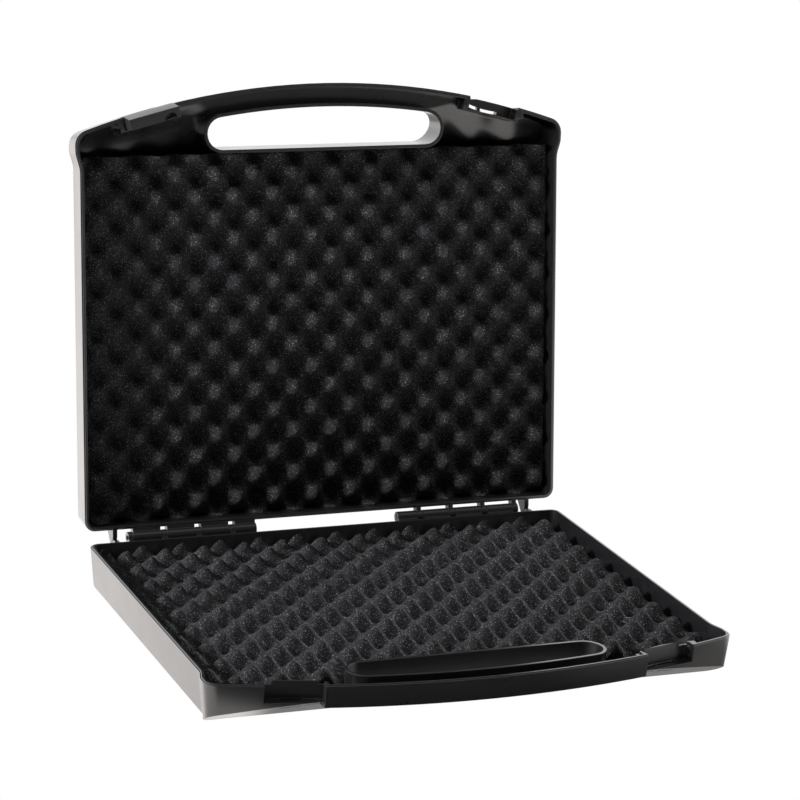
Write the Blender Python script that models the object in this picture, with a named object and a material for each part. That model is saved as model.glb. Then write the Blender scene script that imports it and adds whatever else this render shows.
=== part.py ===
"""Moulded transport case with a two-part handle, open with its lid leaning back on its stops.

Both halves are one moulding: the lid is the base half turned over about the front-to-back
direction, so the wide hinge barrels of each half meet the narrow arms of the other. Metres,
up is +Z, and the front with the handle is towards -Y. The base stands on z = 0, and the
origin is the middle of its flat underside.
"""
import math

import bmesh
import bpy
from mathutils import Matrix, Vector

for old in list(bpy.data.objects):
    bpy.data.objects.remove(old, do_unlink=True)

# Plan of one half, at its rim; v is the distance forward of the rear wall
side_half = 0.1940
flare_out = 0.0035
front_reach = 0.3350
front_radius = 0.5870
rear_corner_radius = 0.0080
front_corner_radius = 0.0120
flare_lead = 0.0203
flare_length = 0.0170
rear_corner_steps = 5
front_corner_steps = 6
flare_steps = 6
front_steps = 14

# Heights and walls of one half
half_height = 0.0340
rim_gap = 0.0003
draft_inset = 0.0035
edge_inset = 0.0030
edge_height = 0.0030
edge_round_share = 0.3
wall = 0.0030
floor = 0.0026
lip_width = 0.0012
lip_height = 0.0009

# Underside that slopes up towards the front, level under the handle
slope_lead = 0.0112
front_rise_share = 0.8735
grip_under_share = 0.5

# Handle: the bar in front of the slot, and the ends of both measured from the latch seats
grip_width = 0.0180
grip_end = 0.0205
slot_width = 0.0309
slot_end = 0.0460
slot_corner_share = 0.99
sleeve = 0.0026
corner_steps = 6
bow_steps = 8

# Latch seats near the ends of the handle, each bounded inwards by a thin curved rib
seat_from_side = 0.0570
seat_half = 0.0206
seat_depth = 0.0106
seat_drop = 0.0130
seat_shelf_drop = 0.0030
seat_side = 0.0034
seat_back_wall = 0.0014
rib = 0.0016
rib_radius = 0.0840
rib_end = 0.0041
rib_back = 0.0141
rib_steps = 8
seat_slot_width = 0.0022
seat_slot_shares = ((0.05, 0.26), (0.32, 0.66))
seat_slot_steps = 4

# Hinge line behind the rear wall, at the height where the halves meet
hinge_back = 0.0064
open_angle = math.radians(97.0)
barrel_radius = 0.0046
barrel_turn = math.radians(270)
barrel_steps = 16
web_drop = 0.0090
hinge_from_side = 0.0328
first_barrel_width = 0.0165
arm_width = 0.0040
arm_count = 4
knuckle_pitch = 0.0272
knuckle_clearance = 0.0006
pin_radius = 0.0015
running_clearance = 0.0003
pin_end = 0.0009
fin_from_side = 0.0235
fin_width = 0.0036
fin_reach = 0.0095
fin_drop = 0.0180
fin_lean_share = 0.8

# Latch
pivot_depth = 0.0055
pivot_rise = 0.0080
latch_side_clearance = 0.0006
latch_end_clearance = 0.0010
latch_back_clearance = 0.0005
latch_round = 0.0046
latch_face = 0.0003
latch_face_low = 0.0020
latch_wall = 0.0026
latch_hollow_share = 0.8
trunnion_radius = 0.0015
trunnion_reach = 0.0016
thumb_radius = 0.0052
thumb_steps = 18

# Foam pads; the bumps of a row lie between those of the next
foam_side_gap = 0.0045
foam_rear_gap = 0.0042
foam_front_gap = 0.0012
foam_gap = 0.0003
foam_drop = 0.0110
foam_swing = 0.0060
bump_pitch = 0.0313
row_pitch = 0.01665
base_bump_x = 0.0044
base_bump_v = 0.0292
lid_bump_x = 0.0060
lid_bump_v = 0.0171
least_cell_share = 0.2

# Overrun of a cut past the face that it opens, and the shading of edges
beyond = 0.0100
round_sides = 24
smooth_angle = math.radians(32)


def material(name, colour, roughness, metallic=0.0):
    """A plain surface for one kind of piece."""
    made = bpy.data.materials.new(name)
    made.use_nodes = True
    shader = made.node_tree.nodes["Principled BSDF"]
    shader.inputs["Base Color"].default_value = (*colour, 1.0)
    shader.inputs["Roughness"].default_value = roughness
    shader.inputs["Metallic"].default_value = metallic
    return made


black_plastic = material("black_polypropylene", (0.012, 0.012, 0.013), 0.32)
grey_plastic = material("dark_grey_textured_polypropylene", (0.035, 0.035, 0.038), 0.45)
foam_grey = material("charcoal_foam", (0.022, 0.022, 0.024), 0.95)
pin_steel = material("dark_steel", (0.20, 0.20, 0.21), 0.35, 1.0)


def new_object(name, mesh):
    """An object in the scene that holds the mesh."""
    made = bpy.data.objects.new(name, mesh)
    bpy.context.scene.collection.objects.link(made)
    return made


def solid(name, bm):
    """Turn edited geometry into an object with its faces outwards."""
    bmesh.ops.recalc_face_normals(bm, faces=bm.faces)
    mesh = bpy.data.meshes.new(name)
    bm.to_mesh(mesh)
    bm.free()
    return new_object(name, mesh)


def loft(name, rings):
    """A closed solid through rings that all have the same number of points."""
    bm = bmesh.new()
    rows = [[bm.verts.new(point) for point in ring] for ring in rings]
    count = len(rows[0])
    for low, high in zip(rows, rows[1:]):
        for i in range(count):
            j = (i + 1) % count
            bm.faces.new((low[i], low[j], high[j], high[i]))
    bm.faces.new(list(reversed(rows[0])))
    bm.faces.new(rows[-1])
    return solid(name, bm)


def upright(name, plan, low, high):
    """A prism standing on a plan given as (x, v) points."""
    return loft(name, [[(x, -v, z) for x, v in plan] for z in (low, high)])


def across(name, section, left, right):
    """A prism along X with a section given as (y, z) points."""
    return loft(name, [[(x, y, z) for y, z in section] for x in (left, right)])


def box(name, low, high):
    """A block between two corners."""
    section = [(low[1], low[2]), (high[1], low[2]), (high[1], high[2]), (low[1], high[2])]
    return across(name, section, low[0], high[0])


def rod(name, radius, left, right, centre):
    """A round rod along X, with its centre as (y, z)."""
    turns = [2 * math.pi * i / round_sides for i in range(round_sides)]
    section = [(centre[0] + radius * math.cos(t), centre[1] + radius * math.sin(t)) for t in turns]
    return across(name, section, left, right)


def mirrored(plan):
    """The same plan on the other side of the case."""
    return [(-x, v) for x, v in reversed(plan)]


def arc(centre, radius, start, end, steps):
    """Points of an arc in plan, with angles from +X towards larger v."""
    turns = [start + (end - start) * i / steps for i in range(steps + 1)]
    return [(centre[0] + radius * math.cos(t), centre[1] + radius * math.sin(t)) for t in turns]


def combine(body, tool, operation):
    """Join the tool to the body or cut it away, and drop the tool."""
    step = body.modifiers.new("shape", "BOOLEAN")
    step.solver = "EXACT"
    step.operation = operation
    step.object = tool
    bpy.context.view_layer.update()
    depsgraph = bpy.context.evaluated_depsgraph_get()
    mesh = bpy.data.meshes.new_from_object(body.evaluated_get(depsgraph))
    body.modifiers.clear()
    spent = body.data
    body.data = mesh
    bpy.data.meshes.remove(spent)
    bpy.data.objects.remove(tool, do_unlink=True)


def finish(piece, surface):
    """Give a piece its surface, and smooth shading with sharp edges kept."""
    mesh = piece.data
    mesh.materials.clear()
    mesh.materials.append(surface)
    bm = bmesh.new()
    bm.from_mesh(mesh)
    bmesh.ops.remove_doubles(bm, verts=bm.verts, dist=rim_gap / 100)
    bmesh.ops.dissolve_degenerate(bm, dist=rim_gap / 100, edges=bm.edges)
    for face in bm.faces:
        face.smooth = True
        face.material_index = 0
    for edge in bm.edges:
        edge.smooth = edge.calc_face_angle(math.pi) < smooth_angle
    bm.to_mesh(mesh)
    bm.free()


# The front wall is an arc about this point, and meets rounded shoulders
shoulder_half = side_half + flare_out
front_centre_v = front_reach - front_radius
shoulder_x = shoulder_half - front_corner_radius
shoulder_v = front_centre_v + math.sqrt((front_radius - front_corner_radius) ** 2 - shoulder_x ** 2)
shoulder_turn = math.atan2(shoulder_v - front_centre_v, shoulder_x)


def rounded(centre, radius, start, end, steps):
    """Points of an arc in plan, each with the outward direction there."""
    directions = arc((0, 0), 1, start, end, steps)
    return [((centre[0] + radius * n[0], centre[1] + radius * n[1]), n) for n in directions]


def flared_side():
    """Right side of the outline, which widens just before the shoulder."""
    flare = flare_out / 2
    start = shoulder_v - flare_lead
    points = []
    for i in range(flare_steps):
        turn = math.pi * i / flare_steps
        lean = flare * math.pi / flare_length * math.sin(turn)
        size = math.hypot(1, lean)
        place = (side_half + flare * (1 - math.cos(turn)), start + flare_length * i / flare_steps)
        points.append((place, (1 / size, -lean / size)))
    return points


def right_outline():
    """Right half of the outline from the rear to the middle of the front, with directions."""
    rear = (side_half - rear_corner_radius, rear_corner_radius)
    front = rounded((0, front_centre_v), front_radius, shoulder_turn, math.pi / 2, front_steps)
    return (rounded(rear, rear_corner_radius, -math.pi / 2, 0, rear_corner_steps) + flared_side()
            + rounded((shoulder_x, shoulder_v), front_corner_radius, 0, shoulder_turn, front_corner_steps)
            + front[1:])


def ring(inset, z):
    """The outline moved inwards, at one height."""
    right = [(p[0] - inset * n[0], p[1] - inset * n[1]) for p, n in right_outline()]
    return [(x, -v, z) for x, v in right + mirrored(right[:-1])]


def draft(z):
    """How far the side walls lean inwards at a height."""
    return draft_inset * (1 - z / half_height)


# Latch seat on the right; its curved rib turns about a point well inside the case
seat_centre = shoulder_half - seat_from_side
seat_front_v = front_centre_v + math.sqrt(front_radius ** 2 - seat_centre ** 2)
seat_turn = math.asin(seat_centre / front_radius)
seat_low_x = seat_centre - seat_half
seat_high_x = seat_centre + seat_half
rib_low_v = seat_front_v - rib_back
rib_centre = (seat_high_x - rib_end, rib_low_v + rib_radius)

# Underside: it slopes from here up to the front, and is level between the grip's ends
slope_start = shoulder_v - slope_lead
slope = half_height * front_rise_share / (front_reach - slope_start)
grip_half = seat_centre - grip_end
grip_under = half_height * grip_under_share


def underside(raised, grip):
    """Tool for the space under the front, its surface raised by a wall's thickness."""
    far = front_reach + beyond
    tip = (slope_start - beyond, raised - beyond * slope)
    top = tip[1] + (far - tip[0]) * slope
    section = [(-v, z) for v, z in (tip, (far, top), (far, -2 * beyond), (tip[0], -2 * beyond))]
    wide = shoulder_half + beyond
    tool = across("under", section, -wide, wide)
    knee = slope_start + grip_under / slope
    level = box("grip", (-grip, -far - beyond, grip_under + raised), (grip, beyond - knee, top + beyond))
    combine(tool, level, "DIFFERENCE")
    return tool


# Handle slot: its front edge runs along the front wall, and its corners all but meet
slot_half = seat_centre - slot_end
slot_rear = front_reach - grip_width - slot_width
slot_front_radius = front_radius - grip_width
slot_room = slot_rear - front_centre_v + slot_front_radius - slot_half
slot_corner = slot_corner_share * (math.sqrt(
    slot_room ** 2 + slot_front_radius ** 2 - (slot_rear - front_centre_v) ** 2 - slot_half ** 2) - slot_room)


def slot_plan(grow):
    """Plan of the handle slot: straight at the rear, bowed at the front, with round ends."""
    radius = slot_corner + grow
    end_x = slot_half - slot_corner
    rear_corner = arc((end_x, slot_rear + slot_corner), radius, -math.pi / 2, 0, corner_steps)
    front_v = front_centre_v + math.sqrt((slot_front_radius - slot_corner) ** 2 - end_x ** 2)
    turn = math.atan2(front_v - front_centre_v, end_x)
    front_corner = arc((end_x, front_v), radius, 0, turn, corner_steps)
    bow = arc((0, front_centre_v), slot_front_radius + grow, turn, math.pi / 2, bow_steps)
    right = rear_corner + front_corner + bow[1:]
    return right + mirrored(right[:-1])


def rib_angle(x, radius):
    """Angle at which an arc about the rib's centre reaches x."""
    return math.pi + math.acos((rib_centre[0] - x) / radius)


def seat_block():
    """Plan of the solid round a latch seat."""
    inner_x = seat_low_x - seat_side
    outer_x = seat_high_x + seat_side
    inner = arc(rib_centre, rib_radius, rib_angle(inner_x, rib_radius), math.pi * 1.5, rib_steps)
    far = front_reach + beyond
    return inner + [(outer_x, rib_low_v), (outer_x, far), (inner_x, far)]


def seat_back():
    """Plan of the wall that closes a latch seat's recess at its back, no higher than the shelf."""
    half = seat_half + seat_side
    deep = seat_depth + seat_back_wall
    corners = [seat_frame(1) @ Vector((x, y, 0)) for x, y in ((-half, deep), (half, deep), (half, 0), (-half, 0))]
    return [(corner.x, -corner.y) for corner in corners]


def seat_shelf():
    """Plan of the lowered top between the rib and the outer end of a seat."""
    radius = rib_radius - rib
    inner = arc(rib_centre, radius, rib_angle(seat_low_x, radius), math.pi * 1.5, rib_steps)
    far = front_reach + beyond
    high_x = seat_high_x - rib
    return inner + [(high_x, rib_low_v + rib), (high_x, far), (seat_low_x, far)]


def seat_slot(shares):
    """Plan of a slot through the seat, along the rib."""
    low_x, high_x = (seat_low_x + 2 * seat_half * share for share in shares)
    near = rib_radius - rib - rim_gap
    away = near - seat_slot_width
    return (arc(rib_centre, near, rib_angle(low_x, near), rib_angle(high_x, near), seat_slot_steps)
            + arc(rib_centre, away, rib_angle(high_x, away), rib_angle(low_x, away), seat_slot_steps))


def seat_frame(side):
    """Frame of a latch seat: X along the front wall, Y inwards from its outside, Z up."""
    place = Matrix.Translation((side * seat_centre, -seat_front_v, 0))
    return place @ Matrix.Rotation(side * seat_turn, 4, "Z")


def cut_seat(half, side):
    """Cut one latch seat: recess, lowered shelf, slots and the bores for the latch's trunnions."""
    high = half_height + beyond
    recess = box("recess", (-seat_half, -beyond, half_height - seat_drop), (seat_half, seat_depth, high))
    recess.data.transform(seat_frame(side))
    combine(half, recess, "DIFFERENCE")
    plans = [(seat_shelf(), half_height - seat_shelf_drop)]
    plans += [(seat_slot(shares), -beyond) for shares in seat_slot_shares]
    for plan, low in plans:
        turned = plan if side > 0 else mirrored(plan)
        combine(half, upright("seat", turned, low, high), "DIFFERENCE")
    reach = seat_half + trunnion_reach + running_clearance
    centre = (pivot_depth, half_height - pivot_rise)
    bore = rod("bore", trunnion_radius + running_clearance, -reach, reach, centre)
    bore.data.transform(seat_frame(side))
    combine(half, bore, "DIFFERENCE")


# Hinge arms, and the barrels that fill the room beside them, on one side of the case
hinge_outer = side_half - hinge_from_side
arm_ends = [hinge_outer - knuckle_pitch * k for k in reversed(range(arm_count))]
arms = [(end - arm_width, end) for end in arm_ends]
hinge_inner = arms[0][0] - knuckle_clearance - first_barrel_width
barrel_starts = [hinge_inner] + [end + knuckle_clearance for end in arm_ends[:-1]]
barrels = [(start, low - knuckle_clearance) for start, (low, high) in zip(barrel_starts, arms)]
fin_x = side_half - fin_from_side


def knuckle_section():
    """Side view of a hinge barrel with the web that carries it, as (y, z) points."""
    root = -wall / 2
    turns = [barrel_turn * i / barrel_steps - math.pi / 2 for i in range(barrel_steps + 1)]
    around = [(hinge_back + barrel_radius * math.cos(t), half_height + barrel_radius * math.sin(t))
              for t in turns]
    return [(root, half_height - web_drop)] + around + [(root, half_height - rim_gap)]


def fin_section():
    """Side view of a stop fin, whose slanted face meets the other half's fin when fully open."""
    stop = math.pi / 2 - open_angle / 2
    along = (math.sin(stop), -math.cos(stop))
    aside = (-math.cos(stop) * rim_gap / 2, -math.sin(stop) * rim_gap / 2)
    slanted = [(hinge_back + along[0] * reach + aside[0], half_height + along[1] * reach + aside[1])
               for reach in (pin_radius, fin_reach)]
    root = -wall / 2
    top = half_height - rim_gap
    return ([(root, top), (hinge_back - pin_radius, top)] + slanted
            + [(hinge_back / 2, half_height - fin_drop * fin_lean_share), (root, half_height - fin_drop)])


def add_hinge(half):
    """Add the barrels on the right, the arms on the left and a stop fin at each end."""
    for low_x, high_x in barrels + [(-high, -low) for low, high in arms]:
        combine(half, across("knuckle", knuckle_section(), low_x, high_x), "UNION")
    for side in (-1, 1):
        edges = (side * fin_x - fin_width / 2, side * fin_x + fin_width / 2)
        combine(half, across("fin", fin_section(), *edges), "UNION")
        ends = sorted((side * (hinge_inner - beyond / 2), side * (hinge_outer + pin_end + running_clearance)))
        bore = rod("bore", pin_radius + running_clearance, *ends, (hinge_back, half_height))
        combine(half, bore, "DIFFERENCE")


def build_half(name):
    """One half of the case, in the position of the base, with its rear wall at y = 0."""
    step = half_height - lip_height
    low_edge = edge_height * edge_round_share
    half = loft(name, [ring(draft_inset + edge_inset, 0),
                       ring(draft(low_edge) + edge_inset * edge_round_share, low_edge),
                       ring(draft(edge_height), edge_height),
                       ring(draft(step), step),
                       ring(lip_width, step),
                       ring(lip_width, half_height - rim_gap / 2)])
    combine(half, underside(0, grip_half), "DIFFERENCE")

    high = half_height + beyond
    cavity = loft("cavity", [ring(wall + draft_inset, floor), ring(wall, half_height), ring(wall, high)])
    combine(cavity, underside(floor * math.hypot(1, slope), grip_half - wall), "DIFFERENCE")
    for plan in (seat_block(), mirrored(seat_block()), slot_plan(sleeve)):
        combine(cavity, upright("kept", plan, -beyond, high + beyond), "DIFFERENCE")
    for plan in (seat_back(), mirrored(seat_back())):
        combine(cavity, upright("kept", plan, -beyond, half_height - seat_shelf_drop), "DIFFERENCE")
    combine(half, cavity, "DIFFERENCE")
    combine(half, upright("slot", slot_plan(0), -beyond, high), "DIFFERENCE")
    for side in (-1, 1):
        cut_seat(half, side)
    add_hinge(half)
    return half


# The case's own place, and the point at the hinge line on which the lid turns
case = new_object("case", None)
case.location = (0, (draft_inset + edge_inset + slope_start) / 2, 0)
lid_turn = new_object("lid_turn", None)
lid_turn.parent = case
lid_turn.location = (0, hinge_back, half_height)
lid_turn.rotation_euler = (-open_angle, 0, 0)
turned_over = Matrix.Translation((0, -hinge_back, half_height)) @ Matrix.Rotation(math.pi, 4, "Y")

base_shell = build_half("base_shell")
finish(base_shell, black_plastic)
base_shell.parent = case

lid_shell = new_object("lid_shell", base_shell.data.copy())
lid_shell.data.transform(turned_over)
lid_shell.parent = lid_turn


def lattice(low, high, step, peak):
    """Both ends of a stretch, and the places between them on a lattice through the peak."""
    room = step * least_cell_share
    first = math.ceil((low + room - peak) / step)
    last = math.floor((high - room - peak) / step)
    return [low] + [peak + step * k for k in range(first, last + 1)] + [high]


def build_foam(name, peak):
    """A foam pad with staggered bumps, one of them at the peak, in the position of the base."""
    half = side_half - wall - foam_side_gap
    rear, front = wall + foam_rear_gap, slope_start - foam_front_gap
    step = bump_pitch / 2
    mean = half_height - foam_drop

    def height(x, v):
        wave = math.cos(math.pi * (x - peak[0]) / step) * math.cos(math.pi * (v - peak[1]) / row_pitch)
        return mean + foam_swing * wave

    bm = bmesh.new()
    across_places = lattice(-half, half, step, peak[0])
    along_places = lattice(rear, front, row_pitch, peak[1])
    grid = [[bm.verts.new((x, -v, height(x, v))) for v in along_places] for x in across_places]
    for (x0, left), (x1, right) in zip(zip(across_places, grid), zip(across_places[1:], grid[1:])):
        for j, (v0, v1) in enumerate(zip(along_places, along_places[1:])):
            middle = ((x0 + x1) / 2, (v0 + v1) / 2)
            centre = bm.verts.new((middle[0], -middle[1], height(*middle)))
            square = (left[j], right[j], right[j + 1], left[j + 1])
            for k in range(4):
                bm.faces.new((square[k], square[(k + 1) % 4], centre))
    edge = ([column[0] for column in grid[:-1]] + grid[-1][:-1]
            + [column[-1] for column in reversed(grid[1:])] + list(reversed(grid[0][1:])))
    feet = [bm.verts.new((v.co.x, v.co.y, floor + foam_gap)) for v in edge]
    for i in range(len(edge)):
        j = (i + 1) % len(edge)
        bm.faces.new((edge[i], edge[j], feet[j], feet[i]))
    bm.faces.new(feet)
    pad = solid(name, bm)
    finish(pad, foam_grey)
    return pad


base_foam = build_foam("base_foam", (base_bump_x, base_bump_v))
base_foam.parent = case
lid_foam = build_foam("lid_foam", (lid_bump_x, lid_bump_v))
lid_foam.data.transform(turned_over)
lid_foam.parent = lid_turn

# Hinge pins, one through each row of barrels and arms
for side, pin_name in ((-1, "hinge_pin_left"), (1, "hinge_pin_right")):
    ends = sorted((side * (hinge_inner - rim_gap), side * (hinge_outer + pin_end)))
    pin = rod(pin_name, pin_radius, *ends, (0, 0))
    finish(pin, pin_steel)
    pin.parent = case
    pin.location = (0, hinge_back, half_height)


def build_latch(name):
    """The latch about its pivot: X along the front wall, Y inwards, Z towards the lid's outside."""
    half = seat_half - latch_side_clearance
    low = seat_drop - latch_end_clearance
    back = seat_depth - latch_back_clearance

    def at(depth, rise):
        return (depth - pivot_depth, rise - pivot_rise)

    crown = arc((0, 0), latch_round, 0, math.pi, round_sides // 2)
    profile = crown + [at(latch_face, 0), at(latch_face_low, -low), at(back, -low)]
    latch = across(name, profile, -half, half)
    inside = half - latch_wall
    top = pivot_rise - latch_round * latch_hollow_share
    hollow = [at(latch_face + latch_wall, top), at(back + beyond, top),
              at(back + beyond, latch_wall - low), at(latch_face_low + latch_wall, latch_wall - low),
              at(latch_face + latch_wall, 0)]
    combine(latch, across("hollow", hollow, -inside, inside), "DIFFERENCE")
    thumb_centre = (inside - thumb_radius, pivot_depth - back)
    thumb = arc(thumb_centre, thumb_radius, 0, 2 * math.pi, thumb_steps)[:-1]
    end = -low - pivot_rise
    combine(latch, upright("thumb", thumb, end - beyond, end + latch_wall * 2), "DIFFERENCE")
    reach = half + latch_side_clearance + trunnion_reach
    combine(latch, rod("trunnion", trunnion_radius, -reach, reach, (0, 0)), "UNION")
    return latch


# The latch hangs in the lid's left seat and reaches past the rim
latch_left = build_latch("latch_left")
finish(latch_left, grey_plastic)
pivot = seat_frame(-1) @ Vector((0, pivot_depth, 0))
latch_left.parent = lid_turn
latch_left.location = (pivot.x, pivot.y - hinge_back, pivot_rise)
latch_left.rotation_euler = (0, 0, -seat_turn)
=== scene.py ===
"""Looks of an open transport case: black mouldings, bumpy foam pads, one swing latch."""
import math

import bmesh
import bpy
from mathutils import Matrix, Vector
from mathutils.bvhtree import BVHTree


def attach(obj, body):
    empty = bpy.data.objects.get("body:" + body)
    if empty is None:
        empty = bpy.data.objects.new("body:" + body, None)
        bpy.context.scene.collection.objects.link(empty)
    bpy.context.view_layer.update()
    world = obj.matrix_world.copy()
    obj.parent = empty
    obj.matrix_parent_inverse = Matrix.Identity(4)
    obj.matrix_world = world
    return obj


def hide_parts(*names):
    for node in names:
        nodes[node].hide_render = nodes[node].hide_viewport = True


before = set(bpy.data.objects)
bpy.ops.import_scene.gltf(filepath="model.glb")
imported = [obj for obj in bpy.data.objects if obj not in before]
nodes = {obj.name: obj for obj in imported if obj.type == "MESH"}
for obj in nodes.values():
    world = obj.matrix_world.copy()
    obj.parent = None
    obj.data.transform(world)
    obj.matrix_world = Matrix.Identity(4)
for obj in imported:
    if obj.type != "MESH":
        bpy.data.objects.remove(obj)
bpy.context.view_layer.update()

# White sweep and camera.
# The case stands on a white table that runs up behind it, and is seen from its left
# front, a little above it, through a long lens held slightly askew.
eye = Vector((-0.8203, -2.0065, 0.7898))
eye_azimuth, eye_elevation, eye_roll = (math.radians(a) for a in (-22.13, 15.82, 2.83))
lens_mm, sensor_mm = 140.2, 36
sight_reach = 50

ahead = Vector((-math.sin(eye_azimuth) * math.cos(eye_elevation),
                math.cos(eye_azimuth) * math.cos(eye_elevation), -math.sin(eye_elevation)))
level = Vector((math.cos(eye_azimuth), math.sin(eye_azimuth), 0))
upward = level.cross(ahead)
eye_right = level * math.cos(eye_roll) + upward * math.sin(eye_roll)
eye_up = upward * math.cos(eye_roll) - level * math.sin(eye_roll)

camera = bpy.data.objects.new("camera", bpy.data.cameras.new("camera"))
bpy.context.scene.collection.objects.link(camera)
camera.data.lens = lens_mm
camera.data.sensor_width = sensor_mm
camera.data.clip_end = sight_reach
camera.matrix_world = Matrix((eye_right, eye_up, -ahead)).transposed().to_4x4()
camera.location = eye
bpy.context.scene.camera = camera
bpy.context.scene.view_settings.view_transform = "Standard"


def add_node(tree, kind, values=None, **settings):
    """A node with its settings and input values; a value may be another node's output."""
    made = tree.nodes.new(kind)
    for key, value in settings.items():
        setattr(made, key, value)
    for key, value in (values or {}).items():
        if isinstance(value, bpy.types.NodeSocket):
            tree.links.new(value, made.inputs[key])
        else:
            made.inputs[key].default_value = value
    return made


def calculate(tree, operation, *terms, clamp=False):
    """The result of a sum on numbers or other nodes' outputs."""
    return add_node(tree, "ShaderNodeMath", dict(enumerate(terms)), operation=operation,
                    use_clamp=clamp).outputs[0]


def ramp(tree, value, span, levels, curve="LINEAR"):
    """A value that crosses a span, turned into levels between the two given ones."""
    ends = {"Value": value, 1: span[0], 2: span[1], 3: levels[0], 4: levels[1]}
    return add_node(tree, "ShaderNodeMapRange", ends, interpolation_type=curve).outputs[0]


def soft_ramp(tree, value, span, levels):
    """A ramp that starts and ends gently."""
    return ramp(tree, value, span, levels, "SMOOTHSTEP")


def white_to_eye(tree, white, reflected, lit):
    """Mix shaders so that the camera sees white, and reflections the studio round the case."""
    path = add_node(tree, "ShaderNodeLightPath").outputs
    mirrored = calculate(tree, "MAXIMUM", path["Is Glossy Ray"], path["Is Transmission Ray"])
    around = add_node(tree, "ShaderNodeMixShader", {0: mirrored, 1: lit, 2: reflected})
    seen = {0: path["Is Camera Ray"], 1: around.outputs[0], 2: white}
    return add_node(tree, "ShaderNodeMixShader", seen).outputs[0]


# The room that reflections show: white ahead, dim behind the camera, less bright overhead
white = (1, 1, 1, 1)
fill_level = 0.03
dark_side = 0.05
room_turn = (-0.7, -0.1)
overhead_turn, overhead_level = (0.5, 0.85), 0.3

world = bpy.data.worlds.new("white_room")
bpy.context.scene.world = world
world.use_nodes = True
room = world.node_tree
heading = add_node(room, "ShaderNodeTexCoord").outputs["Generated"]
heading = add_node(room, "ShaderNodeSeparateXYZ", {0: heading}).outputs
forward = soft_ramp(room, heading["Y"], room_turn, (dark_side, 1.0))
overhead = soft_ramp(room, heading["Z"], overhead_turn, (1.0, overhead_level))
wall_level = calculate(room, "MULTIPLY", forward, overhead)
backdrop, far_wall, soft_light = (
    add_node(room, "ShaderNodeBackground", {"Color": white, "Strength": strength}).outputs[0]
    for strength in (1.0, wall_level, fill_level))
room.links.new(white_to_eye(room, backdrop, far_wall, soft_light), room.nodes["World Output"].inputs[0])

# The table that reflections show: painted shade dims it in front of the case, a painted shadow darkens it
# under the case, and painted light brightens it behind
table_side, table_front, table_rear = 6, -4, 8
paper_shade, paper_roughness = 0.9, 0.8
table_tint = (1.0, 0.965, 0.94, 1)
# Where the painted shade, the painted shadow and the painted light on the reflected table lie
front_edge = (-0.205, -0.18)
right_edge = (0.05, 0.36)
shadow_x, shadow_side = 0.05, (0.22, 0.19)
shadow_front, shadow_level = (-0.23, -0.205), 0.3
rise_span, rise_level = (-0.15, 0.2), 1.25

table_mesh = bpy.data.meshes.new("table")
corners = [(-table_side, table_front, 0), (table_side, table_front, 0),
           (table_side, table_rear, 0), (-table_side, table_rear, 0)]
table_mesh.from_pydata(corners, [], [(0, 1, 2, 3)])
table = bpy.data.objects.new("table", table_mesh)
bpy.context.scene.collection.objects.link(table)
table_white = bpy.data.materials.new("table_white")
table_white.use_nodes = True
surface = table_white.node_tree
paper = surface.nodes["Principled BSDF"]
paper.inputs["Base Color"].default_value = (paper_shade, paper_shade, paper_shade, 1)
paper.inputs["Roughness"].default_value = paper_roughness
glow = add_node(surface, "ShaderNodeEmission", {"Color": white, "Strength": 1.0}).outputs[0]
spot = add_node(surface, "ShaderNodeTexCoord").outputs["Object"]
spot = add_node(surface, "ShaderNodeSeparateXYZ", {0: spot}).outputs
# Painted shade: the reflected table is dimmed in front of the case, except far to its right
behind = soft_ramp(surface, spot["Y"], front_edge, (0.0, 1.0))
beside = soft_ramp(surface, spot["X"], right_edge, (0.0, 1.0))
painted_front_shade = ramp(surface, calculate(surface, "MAXIMUM", behind, beside), (0.0, 1.0), (dark_side, 1.0))
# Painted shadow: the reflected table is darkened under the case
aside = calculate(surface, "ABSOLUTE", calculate(surface, "SUBTRACT", spot["X"], shadow_x))
within = soft_ramp(surface, aside, shadow_side, (0.0, 1.0))
inward = soft_ramp(surface, spot["Y"], shadow_front, (0.0, 1.0))
under = calculate(surface, "MULTIPLY", within, inward)
shadow = ramp(surface, under, (0.0, 1.0), (1.0, shadow_level))
# Painted light: the reflected table grows brighter than plain white behind the case
painted_rear_light = ramp(surface, spot["Y"], rise_span, (1.0, rise_level))
strength = calculate(surface, "MULTIPLY", calculate(surface, "MULTIPLY", painted_front_shade, painted_rear_light), shadow)
painted_table_reflection = add_node(surface, "ShaderNodeEmission", {"Color": table_tint, "Strength": strength}).outputs[0]
surface.links.new(white_to_eye(surface, glow, painted_table_reflection, paper.outputs[0]),
                  surface.nodes["Material Output"].inputs[0])
table_mesh.materials.append(table_white)

# Soft square lamps, each with its place, its size in metres and its power in watts
lamp_target = Vector((0, 0.05, 0.1))
for name, place, size, power in (("top_lamp", (0.0, 0.05, 2.3), 0.7, 18),
                                 ("left_lamp", (-2.05, 0.05, 0.88), 0.3, 76),
                                 ("rear_lamp", (1.86, 1.13, 0.56), 0.7, 140),
                                 ("high_rear_lamp", (1.56, 0.95, 1.36), 0.7, 44)):
    light = bpy.data.lights.new(name, "AREA")
    light.shape = "SQUARE"
    light.size = size
    light.energy = power
    lamp = bpy.data.objects.new(name, light)
    bpy.context.scene.collection.objects.link(lamp)
    lamp.visible_camera = False
    lamp.visible_glossy = False
    lamp.location = place
    lamp.rotation_euler = (lamp_target - Vector(place)).to_track_quat("-Z", "Y").to_euler()

# Base moulding.
# Black polypropylene, injection moulded in one piece with its half of the handle, the seats
# for the latches and its hinge barrels; every outer edge comes from the mould slightly round.
merge_reach = 0.00001
flat_turn = math.radians(0.3)
sharp_turn = math.radians(34)
edge_radius = 0.00035
edge_steps = 2
corner_slip = 0.00012
flat_weight = 100


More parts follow.
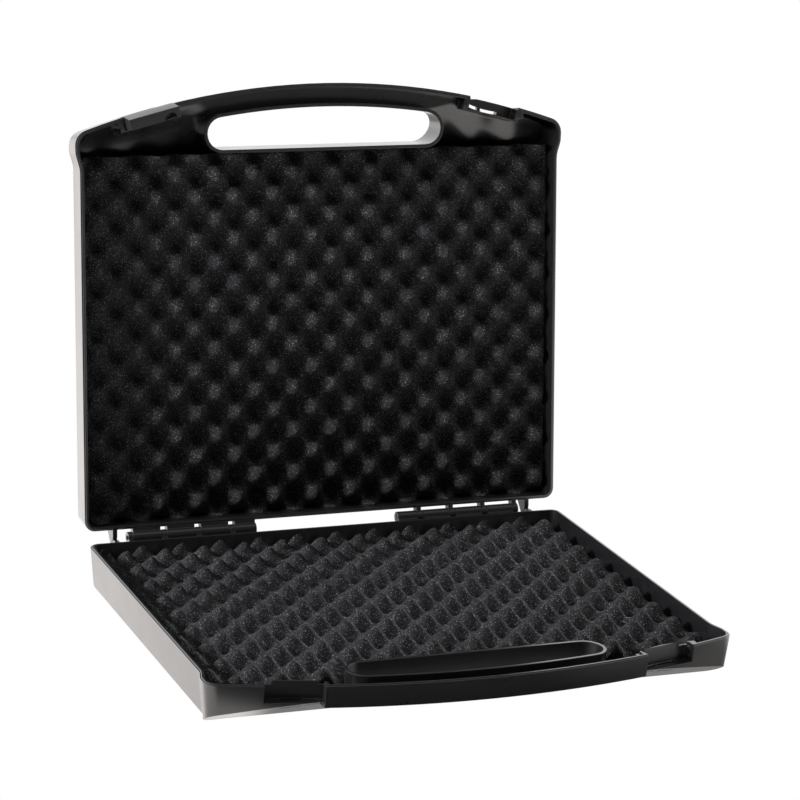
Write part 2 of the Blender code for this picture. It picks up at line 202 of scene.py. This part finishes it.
def moulding(name, node):
    """A copy of a CAD solid with its sharp edges rounded as a mould leaves them."""
    bm = bmesh.new()
    bm.from_mesh(node.data)
    bmesh.ops.remove_doubles(bm, verts=bm.verts, dist=merge_reach)
    bmesh.ops.dissolve_limit(bm, angle_limit=flat_turn, verts=bm.verts, edges=bm.edges)
    before = BVHTree.FromBMesh(bm)
    edges = [e for e in bm.edges if e.is_manifold and e.calc_face_angle(0) > sharp_turn]
    bmesh.ops.bevel(bm, geom=edges, offset=edge_radius, offset_type="OFFSET", segments=edge_steps,
                    profile=0.5, affect="EDGES", clamp_overlap=False, miter_outer="SHARP")
    for corner in bm.verts:
        place, _, _, distance = before.find_nearest(corner.co)
        if distance > corner_slip:
            corner.co = place
    for face in bm.faces:
        face.smooth = True
        face.material_index = 0
    mesh = bpy.data.meshes.new(name)
    bm.to_mesh(mesh)
    bm.free()
    made = bpy.data.objects.new(name, mesh)
    bpy.context.scene.collection.objects.link(made)
    made.modifiers.new("even_normals", "WEIGHTED_NORMAL").weight = flat_weight
    depsgraph = bpy.context.evaluated_depsgraph_get()
    made.data = bpy.data.meshes.new_from_object(made.evaluated_get(depsgraph))
    made.modifiers.clear()
    return made


cloud_scale = 28
cloud_span = (0.3, 0.7)
gloss_shares = (0.88, 1.14)
grain_strength = 0.5
coat_roughness, coat_ior = 0.22, 1.6
plastic_specular = 0.8


def plastic(name, colour, roughness, grain_size, grain_height, coat):
    """Moulded plastic with a fine spark-eroded grain and faint differences in gloss."""
    made = bpy.data.materials.new(name)
    made.use_nodes = True
    tree = made.node_tree
    shader = tree.nodes["Principled BSDF"]
    place = add_node(tree, "ShaderNodeTexCoord").outputs["Object"]
    cloud = add_node(tree, "ShaderNodeTexNoise", {"Vector": place, "Scale": cloud_scale, "Detail": 4})
    gloss = ramp(tree, cloud.outputs["Fac"], cloud_span, [roughness * share for share in gloss_shares])
    grain = add_node(tree, "ShaderNodeTexNoise", {"Vector": place, "Scale": 1 / grain_size, "Detail": 2})
    bump = add_node(tree, "ShaderNodeBump", {"Height": grain.outputs["Fac"], "Strength": grain_strength,
                                             "Distance": grain_height})
    tree.links.new(gloss, shader.inputs["Roughness"])
    tree.links.new(bump.outputs["Normal"], shader.inputs["Normal"])
    shader.inputs["Base Color"].default_value = (*colour, 1)
    shader.inputs["Coat Weight"].default_value = coat
    shader.inputs["Coat Roughness"].default_value = coat_roughness
    shader.inputs["Coat IOR"].default_value = coat_ior
    shader.inputs["Specular IOR Level"].default_value = plastic_specular
    return made


black_plastic = plastic("black_polypropylene", (0.010, 0.010, 0.011), 0.3, 0.0007, 0.00002, 1.0)
base_moulding = moulding("base_moulding", nodes["base_shell"])
base_moulding.data.materials.append(black_plastic)
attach(base_moulding, "base")
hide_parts("base_shell")

# Lid moulding.
# The same moulding as the base turned over, in the same black polypropylene, so its wide
# hinge barrels are on the other side and lie between the base's arms.
lid_moulding = moulding("lid_moulding", nodes["lid_shell"])
lid_moulding.data.materials.append(black_plastic)
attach(lid_moulding, "lid")
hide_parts("lid_shell")

# Foam pads.
# Charcoal open-cell foam cut into staggered bumps by a profiling cutter, one sheet laid in
# each half; the bumps of a row lie between those of the next.
pad_half = 0.1865
pad_rear, pad_front = 0.0072, 0.2799
pad_foot, pad_mean = 0.0029, 0.0225
bump_swing = 0.0075
pad_top_half = 0.1896
pad_top_rear, pad_top_front = 0.0042, 0.2825
bump_pitch, row_pitch = 0.0313, 0.01665
base_bump = (0.0044, 0.0292)
lid_bump = (0.0060, 0.0171)
pad_step = 0.0015
skirt_step = 0.001
wobble_scale = 24
cut_edge_turn = math.radians(50)
rear_wall_y = 0.143778
hinge_v, hinge_z = 0.0064, 0.034
open_angle = math.radians(97)


def pad_tree():
    """Geometry tree that lays out a pad's bumpy top and its cut sides."""
    tree = bpy.data.node_groups.new("convoluted_pad", "GeometryNodeTree")

    def add_input(name, kind, value=None):
        socket = tree.interface.new_socket(name, in_out="INPUT", socket_type=kind)
        if value is not None:
            socket.default_value = value

    for name, value in (("Half width", pad_half), ("Rear", pad_rear), ("Front", pad_front),
                        ("Top half width", pad_top_half), ("Top rear", pad_top_rear),
                        ("Top front", pad_top_front), ("Foot", pad_foot), ("Mean height", pad_mean),
                        ("Swing", bump_swing), ("Bump pitch", bump_pitch), ("Row pitch", row_pitch),
                        ("Peak X", 0.0), ("Peak V", 0.0), ("Rear squeeze", 0.0), ("Squeeze reach", 0.006),
                        ("Rear lift", 0.0), ("Left drop", 0.001), ("Left round", 0.002),
                        ("Right drop", 0.001), ("Right round", 0.002), ("Front drop", 0.001),
                        ("Front round", 0.002), ("Sway", 0.004), ("Waviness", 0.0015)):
        add_input(name, "NodeSocketFloat", value)
    add_input("Columns", "NodeSocketInt", round(2 * pad_half / pad_step))
    add_input("Rows", "NodeSocketInt", round((pad_front - pad_rear) / pad_step))
    add_input("Surface", "NodeSocketMaterial")
    tree.interface.new_socket("Geometry", in_out="OUTPUT", socket_type="NodeSocketGeometry")
    given = tree.nodes.new("NodeGroupInput").outputs

    def sums(operation, *terms, clamp=False):
        return calculate(tree, operation, *terms, clamp=clamp)

    def spread(share, low, high):
        return sums("ADD", low, sums("MULTIPLY", share, sums("SUBTRACT", high, low)))

    # A unit grid spread over the pad's top, as shares of its width and of its depth
    grid = add_node(tree, "GeometryNodeMeshGrid", {"Size X": 1.0, "Size Y": 1.0,
                                                   "Vertices X": given["Columns"],
                                                   "Vertices Y": given["Rows"]})
    place = add_node(tree, "GeometryNodeInputPosition").outputs[0]
    split = add_node(tree, "ShaderNodeSeparateXYZ", {0: place}).outputs
    v_share = sums("SUBTRACT", 0.5, split[1])
    x = sums("MULTIPLY", split[0], sums("MULTIPLY", given["Top half width"], 2.0))
    v = spread(v_share, given["Top rear"], given["Top front"])

    # Each bump sways a little, and the rear row is squeezed against the wall
    spot = add_node(tree, "ShaderNodeCombineXYZ", {0: x, 1: v, 2: given["Peak X"]}).outputs[0]
    wobble = add_node(tree, "ShaderNodeTexNoise", {"Vector": spot, "Scale": wobble_scale, "Detail": 1})
    sway = add_node(tree, "ShaderNodeSeparateXYZ", {0: wobble.outputs["Color"]}).outputs
    from_rear = sums("SUBTRACT", v, given["Top rear"])
    fading = sums("POWER", math.e, sums("DIVIDE", sums("MULTIPLY", from_rear, -1.0), given["Squeeze reach"]))
    x_at = sums("ADD", x, sums("MULTIPLY", sums("SUBTRACT", sway[0], 0.5), given["Sway"]))
    v_at = sums("ADD", v, sums("MULTIPLY", sums("SUBTRACT", sway[1], 0.5), given["Sway"]))
    v_at = sums("SUBTRACT", v_at, sums("MULTIPLY", given["Rear squeeze"], fading))

    # The bumps, then the drops towards three sides
    x_turn = sums("DIVIDE", sums("MULTIPLY", sums("SUBTRACT", x_at, given["Peak X"]), 2 * math.pi),
                  given["Bump pitch"])
    v_turn = sums("DIVIDE", sums("MULTIPLY", sums("SUBTRACT", v_at, given["Peak V"]), math.pi),
                  given["Row pitch"])
    wave = sums("MULTIPLY", sums("COSINE", x_turn), sums("COSINE", v_turn))
    height = sums("MULTIPLY_ADD", wave, given["Swing"], given["Mean height"])
    height = sums("ADD", height, sums("MULTIPLY", sums("SUBTRACT", sway[2], 0.5), given["Waviness"]))
    height = sums("ADD", height, sums("MULTIPLY", given["Rear lift"], fading))
    for side, distance in (("Left", sums("ADD", given["Top half width"], x)),
                           ("Right", sums("SUBTRACT", given["Top half width"], x)),
                           ("Front", sums("SUBTRACT", given["Top front"], v))):
        close = sums("SUBTRACT", 1.0, sums("DIVIDE", distance, given[side + " round"]), clamp=True)
        height = sums("SUBTRACT", height, sums("MULTIPLY", sums("POWER", close, 2.0), given[side + " drop"]))
    top = add_node(tree, "ShaderNodeCombineXYZ", {0: x, 1: sums("MULTIPLY", v, -1.0), 2: height})

    # The cut sides run from the top's border down to a slightly smaller foot
    foot_x = sums("MULTIPLY", split[0], sums("MULTIPLY", given["Half width"], 2.0))
    foot_y = sums("MULTIPLY", spread(v_share, given["Rear"], given["Front"]), -1.0)
    foot = add_node(tree, "ShaderNodeCombineXYZ", {0: foot_x, 1: foot_y, 2: given["Foot"]})
    kept = add_node(tree, "GeometryNodeStoreNamedAttribute",
                    {"Geometry": grid.outputs[0], "Name": "foot_place", "Value": foot.outputs[0]},
                    data_type="FLOAT_VECTOR", domain="POINT")
    raised = add_node(tree, "GeometryNodeSetPosition",
                      {"Geometry": kept.outputs[0], "Position": top.outputs[0]})
    beside = add_node(tree, "GeometryNodeInputMeshEdgeNeighbors").outputs[0]
    border = add_node(tree, "FunctionNodeCompare", data_type="INT", operation="EQUAL")
    tree.links.new(beside, border.inputs[2])
    border.inputs[3].default_value = 1
    skirt = add_node(tree, "GeometryNodeExtrudeMesh",
                     {"Mesh": raised.outputs[0], "Selection": border.outputs[0],
                      "Offset Scale": skirt_step}, mode="EDGES")
    below = add_node(tree, "GeometryNodeInputNamedAttribute", {"Name": "foot_place"},
                     data_type="FLOAT_VECTOR")
    dropped = add_node(tree, "GeometryNodeSetPosition",
                       {"Geometry": skirt.outputs["Mesh"], "Selection": skirt.outputs["Top"],
                        "Position": below.outputs["Attribute"]})
    real = add_node(tree, "GeometryNodeRealizeInstances", {0: dropped.outputs[0]})
    coloured = add_node(tree, "GeometryNodeSetMaterial",
                        {"Geometry": real.outputs[0], "Material": given["Surface"]})
    tree.links.new(coloured.outputs[0], tree.nodes.new("NodeGroupOutput").inputs[0])
    return tree


convoluted = pad_tree()

# Painted glints: tiny cells painted bright in the foam's colour stand in for open cells catching the light
glint_cells, grain_scale = 1300, 800
glint_share, glint_core = (0.72, 0.98), (0.25, 0.5)
shade_span = (0.3, 0.7)
foam_dark, foam_light = (0.009, 0.009, 0.010, 1), (0.038, 0.038, 0.040, 1)
painted_glint_colour = (0.26, 0.26, 0.27, 1)
cell_strength, cell_height = 0.8, 0.0006
foam_roughness, foam_specular = 0.95, 0.04


def foam(name):
    """Charcoal foam: matt, with painted glints: fine bright specks painted into its colour where open cells
    would catch the light.
    """
    made = bpy.data.materials.new(name)
    made.use_nodes = True
    tree = made.node_tree
    shader = tree.nodes["Principled BSDF"]
    place = add_node(tree, "ShaderNodeTexCoord").outputs["Object"]
    # Painted glints: a share of tiny cells is painted bright
    cells = add_node(tree, "ShaderNodeTexVoronoi", {"Vector": place, "Scale": glint_cells}).outputs
    pick = add_node(tree, "ShaderNodeSeparateColor", {0: cells["Color"]}).outputs[0]
    chosen = ramp(tree, pick, glint_share, (0.0, 1.0))
    core = ramp(tree, cells["Distance"], glint_core, (1.0, 0.0))
    painted_glints = calculate(tree, "MULTIPLY", chosen, core)
    grain = add_node(tree, "ShaderNodeTexNoise",
                     {"Vector": place, "Scale": grain_scale, "Detail": 4, "Roughness": 0.7}).outputs["Fac"]
    shade = ramp(tree, grain, shade_span, (0.0, 1.0))
    dark = add_node(tree, "ShaderNodeMix", {0: shade, 6: foam_dark, 7: foam_light}, data_type="RGBA")
    whole = add_node(tree, "ShaderNodeMix", {0: painted_glints, 6: dark.outputs[2], 7: painted_glint_colour}, data_type="RGBA")
    bump = add_node(tree, "ShaderNodeBump", {"Height": grain, "Strength": cell_strength,
                                             "Distance": cell_height})
    tree.links.new(whole.outputs[2], shader.inputs["Base Color"])
    tree.links.new(bump.outputs["Normal"], shader.inputs["Normal"])
    shader.inputs["Roughness"].default_value = foam_roughness
    shader.inputs["Specular IOR Level"].default_value = foam_specular
    return made


foam_grey = foam("charcoal_foam")


def pad(name, place, sizes):
    """One foam pad: the tree's bumps and sides, closed below, laid in its half of the case."""
    made = bpy.data.objects.new(name, bpy.data.meshes.new(name))
    bpy.context.scene.collection.objects.link(made)
    steps = made.modifiers.new("bumps", "NODES")
    steps.node_group = convoluted
    sockets = {item.name: item.identifier for item in convoluted.interface.items_tree
               if item.in_out == "INPUT"}
    steps[sockets["Surface"]] = foam_grey
    for key, value in sizes.items():
        steps[sockets[key]] = value
    bpy.context.view_layer.update()
    depsgraph = bpy.context.evaluated_depsgraph_get()
    mesh = bpy.data.meshes.new_from_object(made.evaluated_get(depsgraph))
    made.modifiers.clear()
    made.data = mesh
    bm = bmesh.new()
    bm.from_mesh(mesh)
    bmesh.ops.holes_fill(bm, edges=[e for e in bm.edges if e.is_boundary], sides=0)
    bmesh.ops.recalc_face_normals(bm, faces=bm.faces)
    bm.transform(place)
    for face in bm.faces:
        face.smooth = True
    for edge in bm.edges:
        edge.smooth = edge.calc_face_angle(0) < cut_edge_turn
    bm.to_mesh(mesh)
    bm.free()
    mesh.name = name
    return made


in_base = Matrix.Translation((0, rear_wall_y, 0))
in_lid = (in_base @ Matrix.Translation((0, hinge_v, hinge_z)) @ Matrix.Rotation(-open_angle, 4, "X")
          @ Matrix.Translation((0, -hinge_v, hinge_z)) @ Matrix.Rotation(math.pi, 4, "Y"))
base_pad = pad("base_pad", in_base,
               {"Peak X": base_bump[0], "Peak V": base_bump[1], "Rear squeeze": 0.007, "Rear lift": 0.001,
                "Left drop": 0.003, "Left round": 0.004, "Right drop": 0.006, "Right round": 0.009,
                "Front drop": 0.006, "Front round": 0.008})
lid_pad = pad("lid_pad", in_lid, {"Peak X": lid_bump[0], "Peak V": lid_bump[1]})
for piece, body, node in ((base_pad, "base", "base_foam"), (lid_pad, "lid", "lid_foam")):
    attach(piece, body)
    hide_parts(node)

# Latch.
# A swing latch of dark grey polypropylene, moulded hollow and held in the lid's left seat by
# a stub trunnion at each end, with a fine grain on the face that the fingers meet.
grey_plastic = plastic("dark_grey_polypropylene", (0.022, 0.022, 0.024), 0.42, 0.0006, 0.00004, 0.4)
latch = moulding("swing_latch", nodes["latch_left"])
latch.data.materials.append(grey_plastic)
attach(latch, "latch")
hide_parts("latch_left")

# Hinge pins.
# Drawn steel wire pushed through the barrels and arms of both halves, with the faint lines
# that the drawing leaves along it.
steel_colour = (0.3, 0.3, 0.31, 1)
line_scales = (40, 2500, 2500)
line_span, steel_gloss = (0.3, 0.7), (0.25, 0.5)

steel = bpy.data.materials.new("drawn_steel")
steel.use_nodes = True
wire = steel.node_tree
metal = wire.nodes["Principled BSDF"]
metal.inputs["Metallic"].default_value = 1
metal.inputs["Base Color"].default_value = steel_colour
where = add_node(wire, "ShaderNodeTexCoord").outputs["Object"]
drawn = add_node(wire, "ShaderNodeMapping", {"Vector": where, "Scale": line_scales}).outputs[0]
lines = add_node(wire, "ShaderNodeTexNoise", {"Vector": drawn, "Scale": 1, "Detail": 2}).outputs["Fac"]
wire.links.new(ramp(wire, lines, line_span, steel_gloss), metal.inputs["Roughness"])
for node in ("hinge_pin_left", "hinge_pin_right"):
    nodes[node].data.materials.clear()
    nodes[node].data.materials.append(steel)
